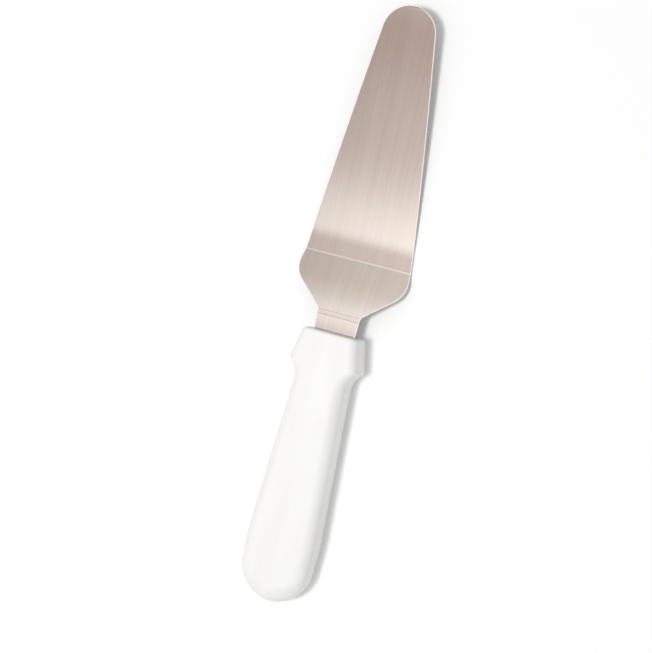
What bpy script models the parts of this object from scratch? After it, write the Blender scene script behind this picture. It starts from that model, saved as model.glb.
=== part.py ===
"""Pie server: one stamped steel sheet, with a plastic handle moulded round its tang.

Metres, +Z up, blade tip towards +X. The tool lies as it does on a table, on the handle's flat
underside and on the blade's heel. The sheet's lengths run along its middle line, forwards from the
handle's front face, and the handle's depths run backwards from that face.
"""

import math

import bmesh
import bpy
from mathutils import Vector

# Steel sheet
SHEET_THICKNESS = 0.0014
SHEET_EDGE_ROUND = 0.0003
NECK_BEND_RADIUS = 0.003
HEEL_BEND_RADIUS = 0.016
BLADE_LENGTH = 0.127
BLADE_WIDTH_AT_CREASE = 0.0563
BLADE_SIDE_BOW = 0.0005
BLADE_TIP_RADIUS = 0.0139
BLADE_RISE_ANGLE = math.radians(4.3)
SHOULDER_ANGLE = math.radians(14.9)
SHOULDER_LENGTH = 0.0278
SHOULDER_CORNER_RUN = 0.0116
SHOULDER_CORNER_RADIUS = 0.0124
NECK_LENGTH = 0.0077
NECK_WIDTH = 0.0222
NECK_FILLET_RADIUS = 0.0041
TANG_LENGTH = 0.095
TANG_END_WIDTH = 0.016
TANG_END_RADIUS = 0.005
KEY_HOLE_DIAMETER = 0.008
FIRST_KEY_HOLE_DEPTH = 0.032
KEY_HOLE_PITCH = 0.036

# Plastic handle
HANDLE_LENGTH = 0.1365
HANDLE_THICKNESS = 0.018
COLLAR_FRONT_WIDTH = 0.0293
COLLAR_FRONT_ROUND = 0.0016
COLLAR_SIDE_HOLLOW = 0.0002
COLLAR_CREST_DEPTH = 0.0165
COLLAR_CREST_WIDTH = 0.0365
COLLAR_CREST_RADIUS = 0.0009
COLLAR_EDGE_ROUND = 0.0044
CREST_TO_WAIST = 0.0043
WAIST_WIDTH = 0.0269
WAIST_RADIUS = 0.0098
SWELL_TO_BUTT = 0.0318
SWELL_WIDTH = 0.0362
SWELL_RADIUS = 0.08
GRIP_EDGE_ROUND = 0.006
BUTT_WIDTH = 0.0341
BUTT_END_ROUND = 0.0104
THICKEST_ROUND_SHARE = 0.96

# Room round the tang, how far a cutter runs past what it cuts, and when two points are one
MOULD_GAP = 0.0003
CUTTER_OVERRUN = 0.002
MERGE_DISTANCE = 0.00001

ARC_STEP = math.radians(7.5)
BEND_STEPS = 6
EDGE_ROUND_STEPS = 6
BOW_STEPS = 6
KEY_HOLES = 2


def clear_scene():
    for obj in list(bpy.data.objects):
        bpy.data.objects.remove(obj, do_unlink=True)


def make_material(name, colour, metallic, roughness):
    material = bpy.data.materials.new(name)
    material.use_nodes = True
    shader = material.node_tree.nodes["Principled BSDF"]
    shader.inputs["Base Color"].default_value = (*colour, 1)
    shader.inputs["Metallic"].default_value = metallic
    shader.inputs["Roughness"].default_value = roughness
    return material


def add_object(name, bm, parent, material=None):
    """Turns a bmesh into an object under the parent, or a hidden Boolean helper where it has no material."""
    bmesh.ops.recalc_face_normals(bm, faces=bm.faces)
    mesh = bpy.data.meshes.new(name)
    bm.to_mesh(mesh)
    bm.free()
    obj = bpy.data.objects.new(name, mesh)
    bpy.context.scene.collection.objects.link(obj)
    obj.parent = parent
    if material:
        mesh.materials.append(material)
        mesh.shade_smooth()
        mesh.set_sharp_from_angle(angle=math.radians(30))
    else:
        obj.hide_render = True
        obj.display_type = "WIRE"
    return obj


def add_boolean(obj, operation, other):
    modifier = obj.modifiers.new(other.name, "BOOLEAN")
    modifier.operation = operation
    modifier.object = other


def round_corner(before, corner, after, radius):
    """The arc that rounds one corner of an outline, as points from the side of before to that of after."""
    to_before = (before - corner).normalized()
    to_after = (after - corner).normalized()
    half_angle = to_before.angle(to_after) / 2
    centre = corner + (to_before + to_after).normalized() * radius / math.sin(half_angle)
    tangent_length = radius / math.tan(half_angle)
    start = (corner + to_before * tangent_length - centre).normalized()
    end = (corner + to_after * tangent_length - centre).normalized()
    steps = max(2, math.ceil(start.angle(end) / ARC_STEP))
    return [centre + radius * start.slerp(end, step / steps) for step in range(steps + 1)]


def mirrored_outline(half_corners):
    """An outline, symmetrical about the X axis, from the corners (point, radius) of its +Y half."""
    lower = [(Vector((point.x, -point.y)), radius) for point, radius in reversed(half_corners) if point.y]
    corners = half_corners + lower
    outline = []
    for index, (corner, radius) in enumerate(corners):
        before = corners[index - 1][0]
        after = corners[(index + 1) % len(corners)][0]
        for point in round_corner(before, corner, after, radius) if radius else [corner]:
            if not outline or (point - outline[-1]).length > MERGE_DISTANCE:
                outline.append(point)
    return outline


def plate(outline, bottom, top):
    """A flat plate of this outline between two heights."""
    bm = bmesh.new()
    face = bm.faces.new([bm.verts.new((point.x, point.y, bottom)) for point in outline])
    extruded = bmesh.ops.extrude_face_region(bm, geom=[face])
    raised = [item for item in extruded["geom"] if isinstance(item, bmesh.types.BMVert)]
    bmesh.ops.translate(bm, verts=raised, vec=(0, 0, top - bottom))
    bmesh.ops.recalc_face_normals(bm, faces=bm.faces)
    return bm


# The sheet's middle line in side view: level tang and neck, down the shoulder, up the blade
heel_turn = SHOULDER_ANGLE + BLADE_RISE_ANGLE
neck_tangent = NECK_BEND_RADIUS * math.tan(SHOULDER_ANGLE / 2)
heel_tangent = HEEL_BEND_RADIUS * math.tan(heel_turn / 2)
heel_drop = HEEL_BEND_RADIUS * (1 - math.cos(BLADE_RISE_ANGLE))
heel_lift = heel_tangent * math.sin(BLADE_RISE_ANGLE) - heel_drop
neck_height = HANDLE_THICKNESS / 2
heel_corner_height = SHEET_THICKNESS / 2 - heel_lift
shoulder_slope = (neck_height - heel_corner_height) / math.sin(SHOULDER_ANGLE)
neck_bend_start = NECK_LENGTH - neck_tangent
neck_bend_end = neck_bend_start + NECK_BEND_RADIUS * SHOULDER_ANGLE
crease = neck_bend_end + shoulder_slope - neck_tangent - heel_tangent
heel_bend_end = crease + HEEL_BEND_RADIUS * heel_turn
neck_front = crease - SHOULDER_LENGTH
tip = crease + BLADE_LENGTH


def along_sheet(start, distance, angle, turn_radius, turn):
    """Place and slope after this distance from start: straight on, or round a bend of this radius."""
    if turn_radius:
        swept = turn * distance / turn_radius
        chord = 2 * turn_radius * math.sin(abs(swept) / 2)
    else:
        swept = 0
        chord = distance
    heading = angle + swept / 2
    return start + chord * Vector((math.cos(heading), math.sin(heading))), angle + swept


def sheet_point(length):
    """Place (x, z) and slope of the middle line at this length, forwards from the handle's front face."""
    place = Vector((min(length, neck_bend_start), neck_height))
    angle = 0
    stretches = (
        (neck_bend_start, neck_bend_end, NECK_BEND_RADIUS, -1),
        (neck_bend_end, crease, 0, 0),
        (crease, heel_bend_end, HEEL_BEND_RADIUS, 1),
        (heel_bend_end, math.inf, 0, 0),
    )
    for start, end, radius, turn in stretches:
        if length > start:
            place, angle = along_sheet(place, min(length, end) - start, angle, radius, turn)
    return place, angle


def tang_half_width(length):
    """Half the width of neck and tang, whose straight sides draw in towards the tang's end."""
    share = (length + TANG_LENGTH) / (neck_front + TANG_LENGTH)
    return (TANG_END_WIDTH + (NECK_WIDTH - TANG_END_WIDTH) * share) / 2


def bowed_side(start, end, bow):
    """Corners along one side that bows out between its ends, or draws in where the bow is negative."""
    corners = []
    for step in range(1, BOW_STEPS):
        share = step / BOW_STEPS
        rise = bow * 4 * share * (1 - share)
        corners.append((start.lerp(end, share) + Vector((0, rise)), 0))
    return corners


def sheet_outline():
    """The flat blank's outline: round tip, slightly bowed sides, shoulder, neck and tang."""
    crease_corner = Vector((crease, BLADE_WIDTH_AT_CREASE / 2))
    tip_centre = Vector((tip - BLADE_TIP_RADIUS, 0))
    to_centre = tip_centre - crease_corner
    taper = math.asin(-to_centre.y / to_centre.length) - math.asin(BLADE_TIP_RADIUS / to_centre.length)
    tip_steps = math.ceil((math.pi / 2 - taper) / ARC_STEP)
    tip_angles = [(math.pi / 2 - taper) * step / tip_steps for step in range(tip_steps + 1)]
    tip_arc = []
    for angle in tip_angles:
        tip_arc.append(tip_centre + BLADE_TIP_RADIUS * Vector((math.cos(angle), math.sin(angle))))
    shoulder_half_width = crease_corner.y + SHOULDER_CORNER_RUN * math.tan(taper)
    blade_half = [(point, 0) for point in tip_arc]
    blade_half += bowed_side(tip_arc[-1], crease_corner, BLADE_SIDE_BOW) + [(crease_corner, 0)]
    return mirrored_outline(blade_half + [
        (Vector((crease - SHOULDER_CORNER_RUN, shoulder_half_width)), SHOULDER_CORNER_RADIUS),
        (Vector((neck_front, NECK_WIDTH / 2)), NECK_FILLET_RADIUS),
        (Vector((-TANG_LENGTH, TANG_END_WIDTH / 2)), TANG_END_RADIUS),
    ])


def upright_cylinders(name, radius, half_height, parent):
    """A cylinder at each of the tang's key holes, centred on the sheet."""
    bm = bmesh.new()
    for index in range(KEY_HOLES):
        depth = FIRST_KEY_HOLE_DEPTH + index * KEY_HOLE_PITCH
        made = bmesh.ops.create_cone(
            bm, cap_ends=True, segments=32, radius1=radius, radius2=radius, depth=2 * half_height
        )
        bmesh.ops.translate(bm, verts=made["verts"], vec=(-depth, 0, neck_height))
    return add_object(name, bm, parent)


def make_blade(parent):
    """Blade, shoulder, neck and tang: the flat blank, edges rounded, bent at the neck and the heel."""
    bm = plate(sheet_outline(), -SHEET_THICKNESS / 2, SHEET_THICKNESS / 2)
    flat_faces = [face for face in bm.faces if abs(face.normal.z) > 0.5]
    rim = [edge for face in flat_faces for edge in face.edges]
    bmesh.ops.bevel(
        bm, geom=rim, offset=SHEET_EDGE_ROUND, offset_type="OFFSET", segments=2, profile=0.5, affect="EDGES"
    )
    for start, end in ((neck_bend_start, neck_bend_end), (crease, heel_bend_end)):
        for step in range(BEND_STEPS + 1):
            place = Vector((start + (end - start) * step / BEND_STEPS, 0, 0))
            everything = bm.verts[:] + bm.edges[:] + bm.faces[:]
            bmesh.ops.bisect_plane(bm, geom=everything, plane_co=place, plane_no=(1, 0, 0))
    for vert in bm.verts:
        place, angle = sheet_point(vert.co.x)
        height = vert.co.z
        vert.co.x = place.x - height * math.sin(angle)
        vert.co.z = place.y + height * math.cos(angle)
    steel = make_material("brushed_steel", (0.56, 0.53, 0.50), 1, 0.3)
    blade = add_object("blade", bm, parent, steel)
    hole_half_height = SHEET_THICKNESS / 2 + CUTTER_OVERRUN
    holes = upright_cylinders("key_hole_cutter", KEY_HOLE_DIAMETER / 2, hole_half_height, parent)
    add_boolean(blade, "DIFFERENCE", holes)
    return blade


def handle_outline():
    """The handle's outline from the collar's front round the butt, and the middle of the butt's round."""
    front = Vector((0, COLLAR_FRONT_WIDTH / 2))
    crest = Vector((-COLLAR_CREST_DEPTH, COLLAR_CREST_WIDTH / 2))
    waist = Vector((crest.x - CREST_TO_WAIST, WAIST_WIDTH / 2))
    swell = Vector((SWELL_TO_BUTT - HANDLE_LENGTH, SWELL_WIDTH / 2))
    butt_corner = Vector((-HANDLE_LENGTH, BUTT_WIDTH / 2))
    butt_radius = butt_corner.y * math.tan((swell - butt_corner).angle(Vector((0, -1))) / 2)
    collar_side = [(front, 0)] + bowed_side(front, crest, -COLLAR_SIDE_HOLLOW)
    collar_side += [(crest, COLLAR_CREST_RADIUS)]
    grip_side = [(waist, WAIST_RADIUS), (swell, SWELL_RADIUS), (butt_corner, butt_radius)]
    return mirrored_outline(collar_side + grip_side), Vector((butt_radius - HANDLE_LENGTH, 0))


def blend(depth, start, end):
    """A smooth step from zero at the start depth to one at the end depth."""
    share = min(max((depth - start) / (end - start), 0), 1)
    return share * share * (3 - 2 * share)


def edge_round_at(depth, butt_depth):
    """How far the handle's edges round in: tight on the collar, fuller on the grip, fullest at the end."""
    grip_share = blend(depth, COLLAR_CREST_DEPTH, COLLAR_CREST_DEPTH + CREST_TO_WAIST + WAIST_RADIUS)
    end_share = blend(depth, butt_depth, HANDLE_LENGTH)
    edge_round = COLLAR_EDGE_ROUND + (GRIP_EDGE_ROUND - COLLAR_EDGE_ROUND) * grip_share
    return edge_round + (BUTT_END_ROUND - GRIP_EDGE_ROUND) * end_share


def handle_level(bm, outline, butt_centre, angle, side):
    """One level of the handle: its outline drawn in by the edge rounding, at this angle of the round."""
    ring = []
    for point in outline:
        edge_round = edge_round_at(-point.x, -butt_centre.x)
        inward = Vector((0, -math.copysign(1, point.y)))
        if point.x < butt_centre.x:
            inward = (butt_centre - point).normalized()
        drawn_in = point + inward * edge_round * (1 - math.cos(angle))
        rounded_height = min(edge_round, HANDLE_THICKNESS / 2 * THICKEST_ROUND_SHARE)
        height = HANDLE_THICKNESS / 2 - rounded_height * (1 - math.sin(angle))
        ring.append(bm.verts.new((drawn_in.x, drawn_in.y, HANDLE_THICKNESS / 2 + side * height)))
    return ring


def handle_body():
    """The handle without its slot: levels from underside to top, closed by the two flats and the front."""
    outline, butt_centre = handle_outline()
    angles = [math.pi / 2 * step / EDGE_ROUND_STEPS for step in range(EDGE_ROUND_STEPS + 1)]
    levels = [(angle, -1) for angle in reversed(angles)] + [(angle, 1) for angle in angles]
    bm = bmesh.new()
    rings = [handle_level(bm, outline, butt_centre, angle, side) for angle, side in levels]
    for lower, upper in zip(rings, rings[1:]):
        for index in range(1, len(outline)):
            bm.faces.new((lower[index - 1], lower[index], upper[index], upper[index - 1]))
    bm.faces.new(rings[0])
    bm.faces.new(rings[-1])
    front = bm.faces.new([ring[0] for ring in rings] + [ring[-1] for ring in reversed(rings)])
    bmesh.ops.recalc_face_normals(bm, faces=bm.faces)
    bmesh.ops.bevel(
        bm, geom=list(front.edges), offset=COLLAR_FRONT_ROUND, offset_type="OFFSET", segments=3, profile=0.5,
        affect="EDGES",
    )
    return bm


def make_handle(parent):
    """The moulded handle, with the slot that the tang fills and the posts through its key holes."""
    plastic = make_material("white_plastic", (0.87, 0.87, 0.85), 0, 0.35)
    handle = add_object("handle", handle_body(), parent, plastic)
    half_slot = SHEET_THICKNESS / 2 + MOULD_GAP
    slot_outline = mirrored_outline([
        (Vector((CUTTER_OVERRUN, tang_half_width(CUTTER_OVERRUN) + MOULD_GAP)), 0),
        (Vector((-TANG_LENGTH - MOULD_GAP, TANG_END_WIDTH / 2 + MOULD_GAP)), TANG_END_RADIUS + MOULD_GAP),
    ])
    slot = plate(slot_outline, neck_height - half_slot, neck_height + half_slot)
    add_boolean(handle, "DIFFERENCE", add_object("tang_slot_cutter", slot, parent))
    post_radius = KEY_HOLE_DIAMETER / 2 - MOULD_GAP
    posts = upright_cylinders("key_posts", post_radius, half_slot + CUTTER_OVERRUN, parent)
    add_boolean(handle, "UNION", posts)
    return handle


def make_pie_server():
    """Both pieces under one empty, with the origin below the middle of the whole tool."""
    tip_place, tip_angle = sheet_point(tip)
    tip_x = tip_place.x + (SHEET_THICKNESS / 2 - SHEET_EDGE_ROUND) * math.sin(tip_angle)
    root = bpy.data.objects.new("pie_server", None)
    bpy.context.scene.collection.objects.link(root)
    root.location.x = (HANDLE_LENGTH - tip_x) / 2
    make_blade(root)
    make_handle(root)


clear_scene()
make_pie_server()
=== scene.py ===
import math
import bpy
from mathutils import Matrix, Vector


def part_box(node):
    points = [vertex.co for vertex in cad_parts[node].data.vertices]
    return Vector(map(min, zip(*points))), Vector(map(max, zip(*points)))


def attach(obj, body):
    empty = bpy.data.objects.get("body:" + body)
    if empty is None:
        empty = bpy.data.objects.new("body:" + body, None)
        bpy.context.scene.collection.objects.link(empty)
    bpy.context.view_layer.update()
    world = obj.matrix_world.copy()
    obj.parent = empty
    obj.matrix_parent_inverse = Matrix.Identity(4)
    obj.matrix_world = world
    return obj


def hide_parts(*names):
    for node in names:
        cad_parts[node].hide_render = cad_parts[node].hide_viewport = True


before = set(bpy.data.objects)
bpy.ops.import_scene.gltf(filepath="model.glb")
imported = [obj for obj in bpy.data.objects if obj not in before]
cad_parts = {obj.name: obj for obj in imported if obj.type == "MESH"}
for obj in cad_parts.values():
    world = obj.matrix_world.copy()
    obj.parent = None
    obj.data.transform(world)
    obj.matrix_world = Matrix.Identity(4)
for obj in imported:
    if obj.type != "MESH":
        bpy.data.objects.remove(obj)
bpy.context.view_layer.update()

# Blade
# Blade, shoulder, neck and tang are one 1.4 mm stainless sheet, blanked, brushed lengthwise, tumbled until
# its edges are smooth, then bent down at the neck and up at the heel. The tang runs on into the handle, whose
# plastic fills its two key holes. Lengths run along the sheet from the handle's front.

SHEET_THICKNESS = 0.0014
SHEET_EDGE_ROUND = 0.0003
NECK_BEND_RADIUS = 0.003
HEEL_BEND_RADIUS = 0.016
BLADE_LENGTH = 0.127
CRISP_BEND_ALLOWANCE = 0.00009
BLADE_WIDTH_AT_CREASE = 0.0563
BLADE_SIDE_BOW = 0.0005
BLADE_TIP_RADIUS = 0.0139
BLADE_RISE = math.radians(4.3)
SHOULDER_SLOPE = math.radians(14.9)
SHOULDER_LENGTH = 0.0278
SHOULDER_CORNER_RUN = 0.0116
SHOULDER_CORNER_RADIUS = 0.0124
NECK_LENGTH = 0.0077
NECK_WIDTH = 0.0222
NECK_FILLET_RADIUS = 0.0041
TANG_LENGTH = 0.095
TANG_END_WIDTH = 0.016
TANG_END_RADIUS = 0.005
KEY_HOLE_DIAMETER = 0.008
KEY_HOLE_DEPTHS = (0.032, 0.068)
KEY_HOLE_DRILL_LENGTH = 0.01

handle_low, handle_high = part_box("handle")
handle_front = handle_high.x
handle_middle = (handle_low.z + handle_high.z) / 2

heel_turn = SHOULDER_SLOPE + BLADE_RISE
heel_tangent = HEEL_BEND_RADIUS * math.tan(heel_turn / 2)
neck_tangent = NECK_BEND_RADIUS * math.tan(SHOULDER_SLOPE / 2)
heel_lift = heel_tangent * math.sin(BLADE_RISE) - HEEL_BEND_RADIUS * (1 - math.cos(BLADE_RISE))
shoulder_drop = handle_middle - SHEET_THICKNESS / 2 + heel_lift
neck_bend_start = NECK_LENGTH - neck_tangent
neck_bend_end = neck_bend_start + NECK_BEND_RADIUS * SHOULDER_SLOPE
crease = neck_bend_end + shoulder_drop / math.sin(SHOULDER_SLOPE) - neck_tangent - heel_tangent
neck_front = crease - SHOULDER_LENGTH

# The crisp bends drawn here reach a little less far than round ones, so the blank is longer by an allowance
tip = crease + BLADE_LENGTH + CRISP_BEND_ALLOWANCE


def rounded_line(corners, step=math.radians(4)):
    """Points along a line through corners (x, y, radius), each corner rounded by an arc of its radius."""
    places = [Vector(corner[:2]) for corner in corners]
    points = []
    for index, (_, _, radius) in enumerate(corners):
        if not radius:
            points.append(places[index])
            continue
        back = (places[index - 1] - places[index]).normalized()
        on = (places[index + 1] - places[index]).normalized()
        half_angle = back.angle(on) / 2
        centre = places[index] + (back + on).normalized() * radius / math.sin(half_angle)
        start = (places[index] + back * radius / math.tan(half_angle) - centre).normalized()
        end = (places[index] + on * radius / math.tan(half_angle) - centre).normalized()
        steps = max(2, math.ceil(start.angle(end) / step))
        points += [centre + radius * start.slerp(end, part / steps) for part in range(steps + 1)]
    return points


def width_at(line, x):
    """The y at this x of a line of points whose x only ever grows or only ever falls."""
    for before, after in zip(line, line[1:]):
        if min(before.x, after.x) <= x <= max(before.x, after.x) and before.x != after.x:
            return before.y + (after.y - before.y) * (x - before.x) / (after.x - before.x)
    return line[-1].y


def leave_edit():
    bpy.ops.object.mode_set(mode="OBJECT")


def pick(obj):
    """Makes this the one selected piece."""
    bpy.ops.object.select_all(action="DESELECT")
    obj.select_set(True)
    bpy.context.view_layer.objects.active = obj


def edit(obj, wanted=None):
    """Opens the piece in edit mode with only those of its points selected that are wanted."""
    if bpy.context.mode != "OBJECT":
        leave_edit()
    pick(obj)
    bpy.ops.object.mode_set(mode="EDIT")
    bpy.ops.mesh.select_mode(type="VERT")
    bpy.ops.mesh.select_all(action="DESELECT")
    if wanted:
        bpy.ops.object.mode_set(mode="OBJECT")
        for point in obj.data.vertices:
            point.select = wanted(point)
        bpy.ops.object.mode_set(mode="EDIT")


def apply_modifier(obj, kind, **settings):
    """Puts one modifier on the piece and applies it."""
    pick(obj)
    bpy.ops.object.modifier_add(type=kind)
    modifier = obj.modifiers[-1]
    for name, value in settings.items():
        setattr(modifier, name, value)
    bpy.ops.object.modifier_apply(modifier=modifier.name)


# The blank's half outline, from the neck forwards to the tip and from the neck back to the tang's end
BLADE_SIDE_STEPS = 12
TIP_ARC_STEPS = 22
crease_corner = Vector((crease, BLADE_WIDTH_AT_CREASE / 2))
tip_centre = Vector((tip - BLADE_TIP_RADIUS, 0))
to_tip = tip_centre - crease_corner
taper = math.asin(-to_tip.y / to_tip.length) - math.asin(BLADE_TIP_RADIUS / to_tip.length)
shoulder_half_width = crease_corner.y + SHOULDER_CORNER_RUN * math.tan(taper)
front_line = rounded_line([
    (-TANG_LENGTH, TANG_END_WIDTH / 2, 0),
    (neck_front, NECK_WIDTH / 2, NECK_FILLET_RADIUS),
    (crease - SHOULDER_CORNER_RUN, shoulder_half_width, SHOULDER_CORNER_RADIUS),
    (crease_corner.x, crease_corner.y, 0),
])
tip_angles = [(math.pi / 2 - taper) * (1 - part / TIP_ARC_STEPS) for part in range(TIP_ARC_STEPS + 1)]
tip_arc = [tip_centre + BLADE_TIP_RADIUS * Vector((math.cos(angle), math.sin(angle))) for angle in tip_angles]
for part in range(1, BLADE_SIDE_STEPS):
    bow = BLADE_SIDE_BOW * 4 * part / BLADE_SIDE_STEPS * (1 - part / BLADE_SIDE_STEPS)
    front_line.append(crease_corner.lerp(tip_arc[0], part / BLADE_SIDE_STEPS) + Vector((0, bow)))
front_line += tip_arc
tang_line = rounded_line([
    (neck_front, NECK_WIDTH / 2, 0),
    (-TANG_LENGTH, TANG_END_WIDTH / 2, TANG_END_RADIUS),
    (-TANG_LENGTH, 0, 0),
])

# Where the sheet bends and by how much: a neck that the press leaves slightly sprung, a sharp bend with the
# faint line of the press bar beside it, a slightly bowed shoulder, a crisp crease with a narrow land in its
# middle, a heel that lies almost flat, and a slow rise into the blade
NECK_SPRING_START = 0.0005
NECK_CURVE_START = 0.0008
NECK_CURVE_END = 0.0072
NECK_SPRING = math.radians(1.4)
NECK_RISE = math.radians(0.6)
NECK_FOLD_START = 0.0075
NECK_FOLD_END = 0.00768
NECK_TURN = math.radians(10.85)
SHOULDER_BOW_START = 0.0079
SHOULDER_BOW_END = 0.026
SHOULDER_BOW = math.radians(7)
PRESS_LINE_START = 0.0095
PRESS_LINE_WIDTH = 0.0005
PRESS_LINE_SIDE = 0.0001
PRESS_LINE_TURN = math.radians(5)
CREASE_LAND_HALF = 0.0003
CREASE_SIDE = 0.0003
CREASE_LAND_TURN = math.radians(6.5)
HEEL_FLAT_RUN = 0.007
HEEL_RISE_RUN = 0.0135
HEEL_START_SLOPE = math.radians(0.5)
HEEL_END_SLOPE = math.radians(1.1)
press_line_end = PRESS_LINE_START + PRESS_LINE_WIDTH
land_start = crease - CREASE_LAND_HALF
land_end = crease + CREASE_LAND_HALF
crease_end_turn = NECK_TURN + SHOULDER_BOW + HEEL_START_SLOPE - CREASE_LAND_TURN

# Each bend as its start, its end, its turn upwards and the steps it is drawn in
bends = (
    (NECK_SPRING_START, NECK_CURVE_START, -NECK_SPRING, 2),
    (NECK_CURVE_START, NECK_CURVE_END, NECK_SPRING + NECK_RISE, 6),
    (NECK_FOLD_START, NECK_FOLD_END, -NECK_TURN - NECK_RISE, 3),
    (SHOULDER_BOW_START, SHOULDER_BOW_END, -SHOULDER_BOW, 12),
    (PRESS_LINE_START, PRESS_LINE_START + PRESS_LINE_SIDE, -PRESS_LINE_TURN, 2),
    (press_line_end - PRESS_LINE_SIDE, press_line_end, PRESS_LINE_TURN, 2),
    (land_start - CREASE_SIDE, land_start, CREASE_LAND_TURN, 3),
    (land_end, land_end + CREASE_SIDE, crease_end_turn, 3),
    (land_end + CREASE_SIDE, crease + HEEL_FLAT_RUN, HEEL_END_SLOPE - HEEL_START_SLOPE, 4),
    (crease + HEEL_FLAT_RUN, crease + HEEL_RISE_RUN, BLADE_RISE - HEEL_END_SLOPE, 8),
)

# The same as folds, each a place and an angle; a bend's first and last fold take half of what the others take
folds = {}
for start, end, turn, steps in bends:
    for part in range(steps + 1):
        place = start + (end - start) * part / steps
        share = 0.5 if part in (0, steps) else 1
        folds[round(place, 7)] = folds.get(round(place, 7), 0) + share * turn / steps

# Cross-lines of the blank, at every fold and where its outline has a point that isn't next to a fold
LEAST_CROSSING_GAP = 0.0001
SAME_PLACE = 0.00001
first_fold = min(folds)
crossings = list(folds)
for point in front_line:
    if point.x > first_fold and all(abs(point.x - x) > LEAST_CROSSING_GAP for x in folds):
        crossings.append(point.x)
crossings.sort()

bpy.ops.mesh.primitive_plane_add(size=1, location=(first_fold / 2, 0, 0))
blade = bpy.context.object
blade.name = "brushed_blade"
edit(blade)
bpy.ops.mesh.select_all(action="SELECT")
bpy.ops.transform.resize(value=(first_fold, 2 * width_at(front_line, 0), 1))
edit(blade, lambda point: point.co.x > 0)


def extrude_across(line, x, before):
    """Draws the selected cross-line of the blank on to the next one, at the outline's width there."""
    bpy.ops.mesh.extrude_region_move(TRANSFORM_OT_translate={"value": (x - before, 0, 0)})
    bpy.ops.transform.resize(value=(1, width_at(line, x) / width_at(line, before), 1))


bpy.ops.transform.resize(value=(1, width_at(front_line, first_fold) / width_at(front_line, 0), 1))
before = first_fold
for x in crossings[1:-1]:
    extrude_across(front_line, x, before)
    before = x
bpy.ops.mesh.extrude_region_move(TRANSFORM_OT_translate={"value": (tip - before, 0, 0)})
bpy.ops.mesh.merge(type="CENTER")
leave_edit()
bpy.ops.object.transform_apply(location=True, rotation=True, scale=True)
edit(blade, lambda point: abs(point.co.x) < SAME_PLACE)
before = 0
for point in tang_line[1:-1]:
    extrude_across(tang_line, point.x, before)
    before = point.x
leave_edit()

# The brushing runs along the sheet, so its map is laid on the flat blank
edit(blade)
bpy.ops.mesh.select_all(action="SELECT")
bpy.ops.mesh.normals_make_consistent(inside=False)
bpy.ops.uv.cube_project(cube_size=0.1, correct_aspect=False)
leave_edit()

# Bent from the tip backwards, so that what lies behind each step is still flat
beyond = {x: {point.index for point in blade.data.vertices if point.co.x > x + SAME_PLACE} for x in folds}
for x in sorted(folds, reverse=True):
    edit(blade, lambda point: point.index in beyond[x])
    bpy.ops.transform.rotate(value=folds[x], orient_axis="Y", center_override=(x, 0, 0))
    leave_edit()

edit(blade)
bpy.ops.mesh.select_all(action="SELECT")
bpy.ops.transform.translate(value=(handle_front, 0, handle_middle))
leave_edit()
apply_modifier(
    blade, "SOLIDIFY", thickness=SHEET_THICKNESS, offset=0, use_even_offset=True, material_offset_rim=1
)
for depth in KEY_HOLE_DEPTHS:
    place = (handle_front - depth, 0, handle_middle)
    bpy.ops.mesh.primitive_cylinder_add(
        vertices=48, radius=KEY_HOLE_DIAMETER / 2, depth=KEY_HOLE_DRILL_LENGTH, location=place
    )
    drill = bpy.context.object
    apply_modifier(blade, "BOOLEAN", object=drill, operation="DIFFERENCE", solver="EXACT")
    bpy.data.objects.remove(drill)


def hex_colour(text):
    """Linear colour from an sRGB hex value."""
    channels = [int(text[start:start + 2], 16) / 255 for start in (1, 3, 5)]
    linear = [value / 12.92 if value <= 0.04045 else ((value + 0.055) / 1.055) ** 2.4 for value in channels]
    return (*linear, 1)


def add_node(tree, kind, inputs=None, **settings):
    """Adds one node with its settings, and with its inputs as values or as the sockets that feed them."""
    node = tree.nodes.new(kind)
    for name, value in settings.items():
        setattr(node, name, value)
    for name, value in (inputs or {}).items():
        if isinstance(value, bpy.types.NodeSocket):
            tree.links.new(value, node.inputs[name])
        else:
            node.inputs[name].default_value = value
    return node


# Brushed stainless steel, 18/0 or 18/10: a belt has drawn fine scratches along both faces, so reflections
# spread across the blade but stay crisp along it. Scratches of 0.1 mm are too fine to show, so they are drawn
# 0.5 mm wide, and 6 mm bands show where the belt pressed harder.
SCRATCH_LENGTH = 0.14
SCRATCH_WIDTH = 0.0005
BAND_LENGTH = 0.16
BAND_WIDTH = 0.006
PATTERN_HEIGHT = 0.02
brushed = bpy.data.materials.new("brushed_stainless_steel")
brushed.use_nodes = True
tree = brushed.node_tree
shader = tree.nodes["Principled BSDF"]
along = add_node(tree, "ShaderNodeTexCoord")
scratch_map = add_node(
    tree,
    "ShaderNodeMapping",
    {"Vector": along.outputs["Object"], "Scale": (1 / SCRATCH_LENGTH, 1 / SCRATCH_WIDTH, 1 / PATTERN_HEIGHT)},
)
scratches = add_node(
    tree,
    "ShaderNodeTexNoise",
    {"Vector": scratch_map.outputs["Vector"], "Scale": 1, "Detail": 3, "Roughness": 0.6},
)
band_map = add_node(
    tree,
    "ShaderNodeMapping",
    {"Vector": along.outputs["Object"], "Scale": (1 / BAND_LENGTH, 1 / BAND_WIDTH, 1 / PATTERN_HEIGHT)},
)
bands = add_node(
    tree,
    "ShaderNodeTexNoise",
    {"Vector": band_map.outputs["Vector"], "Scale": 1, "Detail": 2, "Roughness": 0.5},
)
both = add_node(
    tree, "ShaderNodeMix", {"Factor": 0.36, "A": scratches.outputs["Fac"], "B": bands.outputs["Fac"]}
)
tone = add_node(tree, "ShaderNodeValToRGB", {"Fac": both.outputs["Result"]})
tone.color_ramp.elements[0].position = 0.34
tone.color_ramp.elements[0].color = hex_colour("#BFB7B0")
tone.color_ramp.elements[1].position = 0.66
tone.color_ramp.elements[1].color = hex_colour("#C9C1BA")
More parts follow.
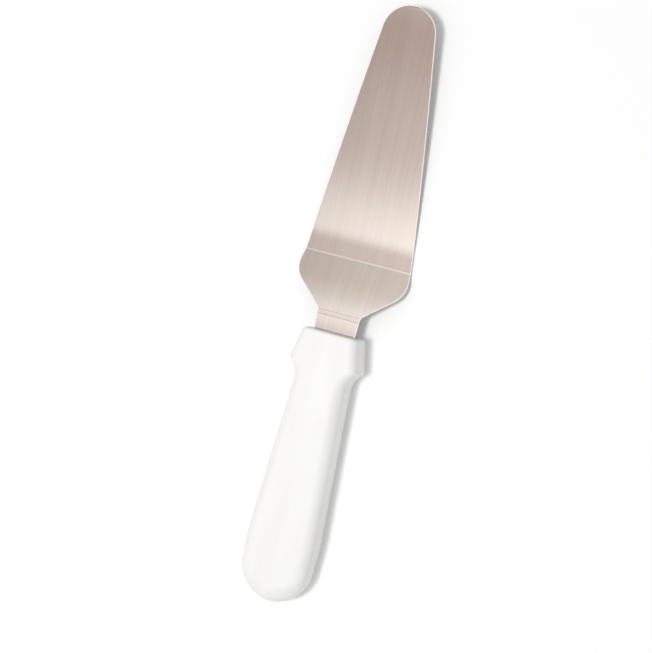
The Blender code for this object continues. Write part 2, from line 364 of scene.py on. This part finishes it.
gloss = add_node(
    tree,
    "ShaderNodeMapRange",
    {"Value": both.outputs["Result"], "From Min": 0.3, "From Max": 0.7, "To Min": 0.21, "To Max": 0.25},
)
grooves = add_node(
    tree, "ShaderNodeBump", {"Height": scratches.outputs["Fac"], "Strength": 0.08, "Distance": 0.00005}
)
direction = add_node(tree, "ShaderNodeTangent", direction_type="UV_MAP", uv_map="UVMap")
shader.inputs["Metallic"].default_value = 1
shader.inputs["Anisotropic"].default_value = 0.85
shader.inputs["Anisotropic Rotation"].default_value = 0.25
tree.links.new(direction.outputs["Tangent"], shader.inputs["Tangent"])
tree.links.new(tone.outputs["Color"], shader.inputs["Base Color"])
tree.links.new(gloss.outputs["Result"], shader.inputs["Roughness"])
tree.links.new(grooves.outputs["Normal"], shader.inputs["Normal"])
blade.data.materials.append(brushed)

# The same steel on the tumbled edge, where stones have worn the cut smooth. Its colour is lighter than the
# faces', partly from that polish and partly a painted highlight that draws the bright line along the edge.
WEAR_SIZE = 0.0015
edge_steel_and_highlight = bpy.data.materials.new("tumbled_steel_edge_and_painted_highlight")
edge_steel_and_highlight.use_nodes = True
tree = edge_steel_and_highlight.node_tree
shader = tree.nodes["Principled BSDF"]
along = add_node(tree, "ShaderNodeTexCoord")
wear = add_node(
    tree, "ShaderNodeTexNoise", {"Vector": along.outputs["Object"], "Scale": 1 / WEAR_SIZE, "Detail": 3}
)
# Both stops are lighter than the faces' steel: partly polish, partly a painted highlight along the edge
tone = add_node(tree, "ShaderNodeValToRGB", {"Fac": wear.outputs["Fac"]})
tone.color_ramp.elements[0].position = 0.35
tone.color_ramp.elements[0].color = hex_colour("#EAE6E2")
tone.color_ramp.elements[1].position = 0.65
tone.color_ramp.elements[1].color = hex_colour("#F4F1EE")
gloss = add_node(
    tree,
    "ShaderNodeMapRange",
    {"Value": wear.outputs["Fac"], "From Min": 0.3, "From Max": 0.7, "To Min": 0.24, "To Max": 0.34},
)
shader.inputs["Metallic"].default_value = 1
tree.links.new(tone.outputs["Color"], shader.inputs["Base Color"])
tree.links.new(gloss.outputs["Result"], shader.inputs["Roughness"])
blade.data.materials.append(edge_steel_and_highlight)

apply_modifier(
    blade, "BEVEL", width=SHEET_EDGE_ROUND, segments=3, limit_method="ANGLE", angle_limit=math.radians(60),
    use_clamp_overlap=False, material=1,
)
bpy.ops.object.shade_smooth_by_angle(angle=math.radians(35))
apply_modifier(blade, "WEIGHTED_NORMAL", keep_sharp=True, weight=100)
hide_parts("blade")
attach(blade, "root")

# Handle
# One moulding of white polypropylene, shot round the tang: a flared collar with a sharp crest, a narrow
# waist, then a grip that widens to a round butt. Top and underside are flat and the long edges are rounded
# for the palm. Depths run back from the collar's front face.

HANDLE_LENGTH = 0.1365
COLLAR_FRONT_WIDTH = 0.0293
COLLAR_FRONT_ROUND = 0.0016
COLLAR_SIDE_HOLLOW = 0.0002
COLLAR_SIDE_RADIUS = 0.25
COLLAR_CREST_DEPTH = 0.0165
COLLAR_CREST_WIDTH = 0.0365
COLLAR_CREST_RADIUS = 0.0009
COLLAR_EDGE_ROUND = 0.0044
WAIST_BEHIND_CREST = 0.0043
WAIST_WIDTH = 0.0269
WAIST_RADIUS = 0.0098
SWELL_FROM_BUTT = 0.0318
SWELL_WIDTH = 0.0362
SWELL_RADIUS = 0.08
GRIP_EDGE_ROUND = 0.006
BUTT_WIDTH = 0.0341
BUTT_END_ROUND = 0.0104
END_BAND_HALF_HEIGHT = 0.00036
MOULD_GAP = 0.0003
SLOT_OVERRUN = 0.002
CORNER_STEPS = 10
STATION_SPACING = 0.006
LEAST_FLAT = 0.00002

collar_side = (COLLAR_FRONT_WIDTH + COLLAR_CREST_WIDTH) / 4 - COLLAR_SIDE_HOLLOW
waist_depth = COLLAR_CREST_DEPTH + WAIST_BEHIND_CREST
swell_depth = HANDLE_LENGTH - SWELL_FROM_BUTT
swell_corner = Vector((swell_depth, SWELL_WIDTH / 2))
butt_corner = Vector((HANDLE_LENGTH, BUTT_WIDTH / 2))
butt_radius = butt_corner.y * math.tan((swell_corner - butt_corner).angle(Vector((0, -1))) / 2)
butt_centre = HANDLE_LENGTH - butt_radius
side_line = rounded_line([
    (0, COLLAR_FRONT_WIDTH / 2, 0),
    (COLLAR_CREST_DEPTH / 2, collar_side, COLLAR_SIDE_RADIUS),
    (COLLAR_CREST_DEPTH, COLLAR_CREST_WIDTH / 2, COLLAR_CREST_RADIUS),
    (waist_depth, WAIST_WIDTH / 2, WAIST_RADIUS),
    (swell_depth, SWELL_WIDTH / 2, SWELL_RADIUS),
    (HANDLE_LENGTH, BUTT_WIDTH / 2, butt_radius),
    (HANDLE_LENGTH, 0, 0),
], math.radians(6))


def ease(value, start, end):
    """A smooth step from zero at the start to one at the end."""
    share = min(max((value - start) / (end - start), 0), 1)
    return share * share * (3 - 2 * share)


def add_section(depth, half_width, half_height, side_round, top_round):
    """Adds one cross-section of the handle, a rectangle with its corners rounded sideways and upwards."""
    squeeze = top_round / side_round
    bpy.ops.mesh.primitive_plane_add(size=2, location=(-depth, 0, 0), rotation=(0, math.pi / 2, 0))
    bpy.ops.transform.resize(value=(1, half_width * squeeze, half_height))
    bpy.ops.mesh.bevel(offset=top_round, segments=CORNER_STEPS, profile=0.5, affect="VERTICES")
    bpy.ops.transform.resize(value=(1, 1 / squeeze, 1))
    bpy.ops.mesh.delete(type="ONLY_FACE")


# Stations along the handle, with long straight stretches divided, so that the edge rounding grows along them
half_thickness = (handle_high.z - handle_low.z) / 2
stations = []
for before, after in zip(side_line, side_line[1:]):
    pieces = max(1, math.ceil((after.x - before.x) / STATION_SPACING))
    stations += [before.x + (after.x - before.x) * part / pieces for part in range(pieces)]
spaced = []
for depth, last in zip(stations, [-1] + stations):
    if depth - last > LEAST_FLAT and depth < HANDLE_LENGTH - 2 * LEAST_FLAT:
        spaced.append(depth)
stations = spaced

bpy.ops.mesh.primitive_plane_add(size=1)
handle = bpy.context.object
handle.name = "moulded_handle"
edit(handle)
bpy.ops.mesh.select_all(action="SELECT")
bpy.ops.mesh.delete(type="VERT")
for depth in stations:
    half_width = width_at(side_line, depth)
    half_height = half_thickness
    grip_share = ease(depth, COLLAR_CREST_DEPTH, waist_depth + WAIST_RADIUS)
    top_round = COLLAR_EDGE_ROUND + (GRIP_EDGE_ROUND - COLLAR_EDGE_ROUND) * grip_share
    side_round = top_round
    behind = depth - butt_centre
    if behind > 0:
        end_round = GRIP_EDGE_ROUND + (BUTT_END_ROUND - GRIP_EDGE_ROUND) * ease(behind / butt_radius, 0, 1)
        flat_radius = butt_radius - end_round
        flat_half_width = math.sqrt(max(flat_radius ** 2 - behind ** 2, 0))
        side_round = half_width - max(flat_half_width, LEAST_FLAT)
        top_round = min(end_round, half_thickness - END_BAND_HALF_HEIGHT)
        from_end = HANDLE_LENGTH - depth
        if from_end < end_round:
            rise = math.sqrt(1 - (1 - from_end / end_round) ** 2)
            half_height = END_BAND_HALF_HEIGHT + (half_thickness - END_BAND_HALF_HEIGHT) * rise
            top_round = half_height - LEAST_FLAT
    add_section(depth, half_width, half_height, side_round, top_round)
leave_edit()
loop_points = 4 * (CORNER_STEPS + 1)
for index in range(len(stations) - 1):
    first = index * loop_points
    edit(handle, lambda point: first <= point.index < first + 2 * loop_points)
    bpy.ops.mesh.bridge_edge_loops()
    leave_edit()
edit(handle, lambda point: point.index < loop_points)
bpy.ops.mesh.edge_face_add()
bpy.ops.mesh.bevel(offset=COLLAR_FRONT_ROUND, segments=5, profile=0.5, affect="EDGES")
leave_edit()
end_x = min(point.co.x for point in handle.data.vertices)
edit(handle, lambda point: point.co.x < end_x + SAME_PLACE)
bpy.ops.mesh.extrude_region_move(TRANSFORM_OT_translate={"value": (-HANDLE_LENGTH - end_x, 0, 0)})
bpy.ops.mesh.merge(type="CENTER")
bpy.ops.mesh.select_all(action="SELECT")
bpy.ops.mesh.remove_doubles(threshold=SAME_PLACE)
bpy.ops.mesh.normals_make_consistent(inside=False)
bpy.ops.transform.translate(value=(handle_front, 0, handle_middle))
leave_edit()
bpy.ops.object.transform_apply(location=True, rotation=True, scale=True)

# The slot that the tang fills, and the two posts of plastic through its key holes
bpy.ops.mesh.primitive_cube_add(size=1, location=(0, 0, 0))
core = bpy.context.object
edit(core)
bpy.ops.mesh.select_all(action="SELECT")
slot_length = TANG_LENGTH + MOULD_GAP + SLOT_OVERRUN
slot_width = TANG_END_WIDTH + 2 * MOULD_GAP
slot_height = SHEET_THICKNESS + 2 * MOULD_GAP
bpy.ops.transform.resize(value=(slot_length, slot_width, slot_height))
bpy.ops.transform.translate(value=(handle_front + SLOT_OVERRUN - slot_length / 2, 0, handle_middle))
leave_edit()
edit(core, lambda point: point.co.x > handle_front)
mouth_width = 2 * (width_at(front_line, SLOT_OVERRUN) + MOULD_GAP)
bpy.ops.transform.resize(value=(1, mouth_width / slot_width, 1))
leave_edit()
for depth in KEY_HOLE_DEPTHS:
    place = (handle_front - depth, 0, handle_middle)
    bpy.ops.mesh.primitive_cylinder_add(
        vertices=48, radius=KEY_HOLE_DIAMETER / 2 - MOULD_GAP, depth=KEY_HOLE_DRILL_LENGTH, location=place
    )
    post = bpy.context.object
    apply_modifier(core, "BOOLEAN", object=post, operation="DIFFERENCE", solver="EXACT")
    bpy.data.objects.remove(post)
apply_modifier(handle, "BOOLEAN", object=core, operation="DIFFERENCE", solver="EXACT")
bpy.data.objects.remove(core)

# White polypropylene: a food-safe, slightly waxy plastic. The polished mould leaves a soft satin skin with a
# faint ripple, and broad flow marks run along it, a touch warmer in tone.
SKIN_GRAIN = 0.0012
FLOW_LENGTH = 0.045
FLOW_WIDTH = 0.012
plastic = bpy.data.materials.new("white_polypropylene")
plastic.use_nodes = True
tree = plastic.node_tree
shader = tree.nodes["Principled BSDF"]
along = add_node(tree, "ShaderNodeTexCoord")
skin = add_node(
    tree,
    "ShaderNodeTexNoise",
    {"Vector": along.outputs["Object"], "Scale": 1 / SKIN_GRAIN, "Detail": 4, "Roughness": 0.6},
)
flow_map = add_node(
    tree,
    "ShaderNodeMapping",
    {"Vector": along.outputs["Object"], "Scale": (1 / FLOW_LENGTH, 1 / FLOW_WIDTH, 1 / FLOW_WIDTH)},
)
flow = add_node(
    tree,
    "ShaderNodeTexNoise",
    {"Vector": flow_map.outputs["Vector"], "Scale": 1, "Detail": 2, "Distortion": 0.4},
)
tone = add_node(tree, "ShaderNodeValToRGB", {"Fac": flow.outputs["Fac"]})
tone.color_ramp.elements[0].position = 0.3
tone.color_ramp.elements[0].color = hex_colour("#F4F3F1")
tone.color_ramp.elements[1].position = 0.7
tone.color_ramp.elements[1].color = hex_colour("#F9F9F8")
gloss = add_node(
    tree,
    "ShaderNodeMapRange",
    {"Value": skin.outputs["Fac"], "From Min": 0.3, "From Max": 0.7, "To Min": 0.32, "To Max": 0.42},
)
ripple = add_node(
    tree, "ShaderNodeBump", {"Height": skin.outputs["Fac"], "Strength": 0.12, "Distance": 0.0001}
)
shader.inputs["IOR"].default_value = 1.49
tree.links.new(tone.outputs["Color"], shader.inputs["Base Color"])
tree.links.new(gloss.outputs["Result"], shader.inputs["Roughness"])
tree.links.new(ripple.outputs["Normal"], shader.inputs["Normal"])
handle.data.materials.clear()
handle.data.materials.append(plastic)

pick(handle)
bpy.ops.object.shade_smooth_by_angle(angle=math.radians(40))
apply_modifier(handle, "WEIGHTED_NORMAL", keep_sharp=True, weight=60)
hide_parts("handle")
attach(handle, "root")

# Floor
# A plain white table, with a soft shadow where the tool lies. Its top is a hair below the tool's flat
# underside, so that the two faces never fight.
TABLE_SIZE = 8
TABLE_GAP = 0.0002
bpy.ops.mesh.primitive_plane_add(size=TABLE_SIZE, location=(0, 0, -TABLE_GAP))
floor = bpy.context.object
floor.name = "white_table"
table_white = bpy.data.materials.new("matt_white_table")
table_white.use_nodes = True
tree = table_white.node_tree
tree.nodes.remove(tree.nodes["Principled BSDF"])
matt = add_node(tree, "ShaderNodeBsdfDiffuse", {"Color": hex_colour("#F7F7F7")})
glow = add_node(tree, "ShaderNodeEmission", {"Color": (1, 1, 1, 1), "Strength": 0.08})
seen = add_node(tree, "ShaderNodeLightPath")
lift = add_node(tree, "ShaderNodeAddShader", {0: matt.outputs["BSDF"], 1: glow.outputs["Emission"]})
mirrored = add_node(
    tree,
    "ShaderNodeMath",
    {0: seen.outputs["Is Camera Ray"], 1: seen.outputs["Is Glossy Ray"]},
    operation="MAXIMUM",
)
shown = add_node(
    tree,
    "ShaderNodeMixShader",
    {0: mirrored.outputs["Value"], 1: matt.outputs["BSDF"], 2: lift.outputs["Shader"]},
)
tree.links.new(shown.outputs["Shader"], tree.nodes["Material Output"].inputs["Surface"])
floor.data.materials.append(table_white)

# Light
# A square soft box high on the blade's left, towards the butt, in a plain studio that is brighter overhead. A
# graded cloth over the table and grey flags round its far side give the steel its tones, and only mirrored
# light finds them.
SOFT_BOX_SIZE = 0.6
key = bpy.data.lights.new("soft_box", "AREA")
key.shape = "SQUARE"
key.size = SOFT_BOX_SIZE
key.energy = 33
key_place = bpy.data.objects.new("soft_box", key)
bpy.context.scene.collection.objects.link(key_place)
key_place.location = (-0.25, 0.36, 2.5)
key_place.rotation_euler = (Vector((0, 0, 0)) - key_place.location).to_track_quat("-Z", "Y").to_euler()
key_place.visible_glossy = False

# The cloth hangs level over the table. Along the tool it is bright above the handle, warm grey above the
# blade and bright again past the tip, and across the tool its shine fades towards the left.
CLOTH_START = -0.16
CLOTH_END = 0.5
CLOTH_RIGHT = -0.06
CLOTH_LEFT = 0.5
CLOTH_HEIGHT = 0.6
CLOTH_STRENGTH_RIGHT = 3.25
CLOTH_STRENGTH_LEFT = 0.45
cloth_middle = ((CLOTH_START + CLOTH_END) / 2, (CLOTH_RIGHT + CLOTH_LEFT) / 2, CLOTH_HEIGHT)
bpy.ops.mesh.primitive_plane_add(size=1, location=cloth_middle)
bpy.ops.transform.resize(value=(CLOTH_END - CLOTH_START, CLOTH_LEFT - CLOTH_RIGHT, 1))
cloth = bpy.context.object
cloth.name = "graded_cloth"
bpy.ops.object.transform_apply(location=True, rotation=True, scale=True)
graded = bpy.data.materials.new("graded_cloth")
graded.use_nodes = True
tree = graded.node_tree
tree.nodes.remove(tree.nodes["Principled BSDF"])
place = add_node(tree, "ShaderNodeTexCoord")
split = add_node(tree, "ShaderNodeSeparateXYZ", {"Vector": place.outputs["Object"]})
share = add_node(
    tree, "ShaderNodeMapRange", {"Value": split.outputs["X"], "From Min": CLOTH_START, "From Max": CLOTH_END}
)
tints = add_node(tree, "ShaderNodeValToRGB", {"Fac": share.outputs["Result"]})
stops = (
    (-0.16, "#E6E4E3"), (-0.09, "#F7F7F7"), (-0.05, "#FBFAFA"), (-0.02, "#CBC1C0"), (0.0, "#BBB0AE"),
    (0.045, "#BAB3B0"), (0.085, "#ADA09D"), (0.12, "#928279"), (0.15, "#B8AEAB"), (0.172, "#F0EFEF"),
    (0.21, "#F4F4F4"), (0.29, "#D8D6D5"), (0.40, "#CAC4C0"),
)
while len(tints.color_ramp.elements) < len(stops):
    tints.color_ramp.elements.new(1)
for element, (x, colour) in zip(tints.color_ramp.elements, stops):
    element.position = (x - CLOTH_START) / (CLOTH_END - CLOTH_START)
    element.color = hex_colour(colour)
across = add_node(
    tree,
    "ShaderNodeMapRange",
    {
        "Value": split.outputs["Y"],
        "From Min": CLOTH_RIGHT,
        "From Max": CLOTH_LEFT,
        "To Min": CLOTH_STRENGTH_RIGHT,
        "To Max": CLOTH_STRENGTH_LEFT,
    },
)
shine = add_node(
    tree, "ShaderNodeEmission", {"Color": tints.outputs["Color"], "Strength": across.outputs["Result"]}
)
tree.links.new(shine.outputs["Emission"], tree.nodes["Material Output"].inputs["Surface"])
cloth.data.materials.append(graded)
cloth.visible_camera = False
cloth.visible_diffuse = False
cloth.visible_shadow = False

# Grey flags on the blade's left and beyond its tip, so that the rounded edge stands out there against the
# white table
FLAG_MIDDLE = (0.1, 0.52, 0.33)
FLAG_LENGTH = 1.0
FLAG_HEIGHT = 0.6
FLAG_RETURN = 0.5
bpy.ops.mesh.primitive_plane_add(size=1, location=FLAG_MIDDLE, rotation=(math.pi / 2, 0, 0))
bpy.ops.transform.resize(value=(FLAG_LENGTH, 1, FLAG_HEIGHT))
flags = bpy.context.object
flags.name = "grey_flags"
bpy.ops.object.transform_apply(location=True, rotation=True, scale=True)
edit(flags, lambda point: point.co.x > FLAG_MIDDLE[0])
bpy.ops.mesh.extrude_region_move(TRANSFORM_OT_translate={"value": (0, -FLAG_RETURN, 0)})
leave_edit()
flag_grey = bpy.data.materials.new("grey_flag_cloth")
flag_grey.use_nodes = True
tree = flag_grey.node_tree
tree.nodes.remove(tree.nodes["Principled BSDF"])
shine = add_node(tree, "ShaderNodeEmission", {"Color": hex_colour("#BDB6B2"), "Strength": 1.0})
tree.links.new(shine.outputs["Emission"], tree.nodes["Material Output"].inputs["Surface"])
flags.data.materials.append(flag_grey)
flags.visible_camera = False
flags.visible_diffuse = False
flags.visible_shadow = False

# The studio itself: walls that grow brighter overhead, but plain white to the camera and in the steel
studio = bpy.data.worlds.new("studio")
bpy.context.scene.world = studio
studio.use_nodes = True
studio.cycles.sampling_method = "NONE"
tree = studio.node_tree
backdrop = tree.nodes["Background"]
backdrop.inputs["Color"].default_value = (1, 1, 1, 1)
towards = add_node(tree, "ShaderNodeTexCoord")
split = add_node(tree, "ShaderNodeSeparateXYZ", {"Vector": towards.outputs["Generated"]})
height = add_node(
    tree,
    "ShaderNodeMapRange",
    {"Value": split.outputs["Z"], "From Min": 0.0, "From Max": 0.9, "To Min": 0.4, "To Max": 0.67},
    interpolation_type="SMOOTHSTEP",
)
sideways = add_node(
    tree,
    "ShaderNodeMapRange",
    {"Value": split.outputs["Y"], "From Min": -1, "From Max": 1, "To Min": 0.85, "To Max": 0.78},
)
walls = add_node(
    tree, "ShaderNodeMath", {0: height.outputs["Result"], 1: sideways.outputs["Result"]}, operation="MULTIPLY"
)
seen = add_node(tree, "ShaderNodeLightPath")
shown = add_node(
    tree,
    "ShaderNodeMath",
    {0: seen.outputs["Is Camera Ray"], 1: seen.outputs["Is Glossy Ray"]},
    operation="MAXIMUM",
)
level = add_node(
    tree, "ShaderNodeMix", {"Factor": shown.outputs["Value"], "A": walls.outputs["Value"], "B": 1.0}
)
tree.links.new(level.outputs["Result"], backdrop.inputs["Strength"])
bpy.context.scene.view_settings.view_transform = "Standard"

# Camera
# Above the tool and a little to its right, as in the photograph; focal length as fitted to its outline.
camera = bpy.data.cameras.new("camera")
camera.lens = 104.75
camera.sensor_width = 36
camera.clip_start = 0.01
camera.clip_end = 20
camera_place = bpy.data.objects.new("camera", camera)
bpy.context.scene.collection.objects.link(camera_place)
camera_place.location = (0.04945, -0.3097, 0.8852)
camera_place.rotation_euler = (math.radians(1.2902), math.radians(20.0703), math.radians(-75.2911))
bpy.context.scene.camera = camera_place
